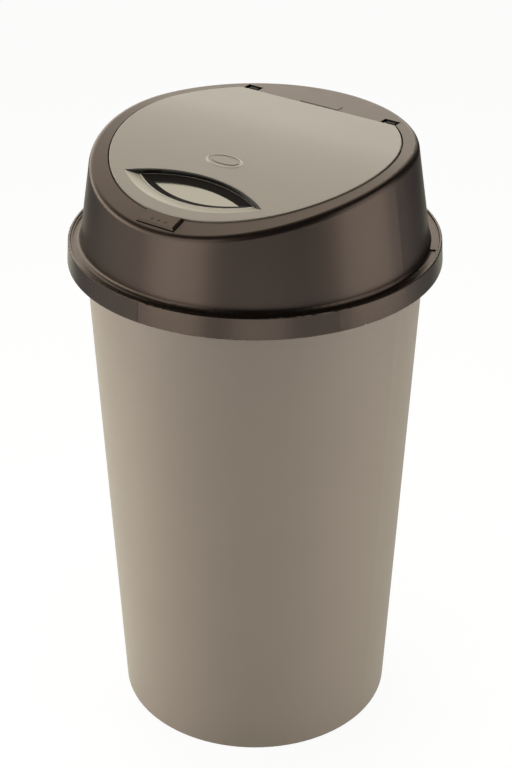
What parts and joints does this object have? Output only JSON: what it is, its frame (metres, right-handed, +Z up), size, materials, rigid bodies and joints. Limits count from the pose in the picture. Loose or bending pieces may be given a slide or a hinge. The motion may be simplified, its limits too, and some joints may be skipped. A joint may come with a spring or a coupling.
{
  "type": "push top bin",
  "caption": "Tall round tapered push-top bin: dark band and lid, and a sprung taupe flap with a lens-shaped chrome grip recess, a rear hinge and a push tab at the front",
  "frame": {"origin": "centre of the base, on the surface the bin stands on", "axes": "+Z up through the middle of the bin, -Y to the front with the push tab, +Y to the back with the flap's hinge, +X to the right as seen from the front"},
  "size_m": [0.3899, 0.39, 0.6684],
  "materials": {
    "body_plastic": "satin moulded plastic, taupe with a slight metallic sheen",
    "band_plastic": "smooth dark brown moulded plastic",
    "lid_plastic": "satin dark brown moulded plastic",
    "flap_plastic": "satin moulded plastic, taupe with a slight metallic sheen",
    "liner_plastic": "plain dark moulded plastic",
    "tab_plastic": "satin dark brown moulded plastic",
    "latch_plastic": "natural acetal",
    "bezel_gloss": "polished near-black trim",
    "grip_chrome": "bright plated plastic",
    "steel": "plain steel wire, pin and screw stock",
    "buffer_rubber": "black rubber"
  },
  "bodies": {
    "bin": {"bin_body": "body_plastic"},
    "band": {"rim_band": "band_plastic"},
    "lid": {"lid_cover": "lid_plastic", "hinge_pin_left": "steel", "hinge_pin_right": "steel", "spring_axle": "steel", "spring_cap": "lid_plastic", "latch_bracket": "liner_plastic", "latch_screws": "steel", "latch_pin": "steel", "latch_spring": "steel", "flap_buffers": "buffer_rubber"},
    "flap": {"flap_panel": "flap_plastic", "flap_liner": "liner_plastic", "grip_bezel": "bezel_gloss", "grip_insert": "grip_chrome", "hinge_spring": "steel", "flap_striker": "steel", "striker_screws": "steel", "liner_screws": "steel"},
    "tab": {"push_tab": "tab_plastic"},
    "lever": {"latch_lever": "latch_plastic"}
  },
  "joints": [
    {"name": "band_lift", "type": "slide", "parent": "bin", "child": "band", "axis": [0, 0, 1], "range_m": [0, 0.1]},
    {"name": "lid_lift", "type": "slide", "parent": "band", "child": "lid", "axis": [0, 0, 1], "range_m": [0, 0.15]},
    {"name": "flap_hinge", "type": "hinge", "parent": "lid", "child": "flap", "pos_m": [0, 0.11981, 0.6634], "axis": [-1, 0, 0], "range_deg": [0, 85], "deforming": ["hinge_spring"]},
    {"name": "tab_press", "type": "slide", "parent": "lid", "child": "tab", "axis": [0, 0.3124, -0.95], "range_m": [0, 0.0032], "stiffness_N_per_m": 600, "springref_m": -0.002, "deforming": ["latch_spring"]},
    {"name": "lever_turn", "type": "hinge", "parent": "lid", "child": "lever", "pos_m": [0, -0.14147, 0.61185], "axis": [1, 0, 0], "range_deg": [0, 15.1]}
  ],
  "couplings": [
    {"joint": "lever_turn", "follows": "tab_press", "rad_per_m": 81.812}
  ]
}
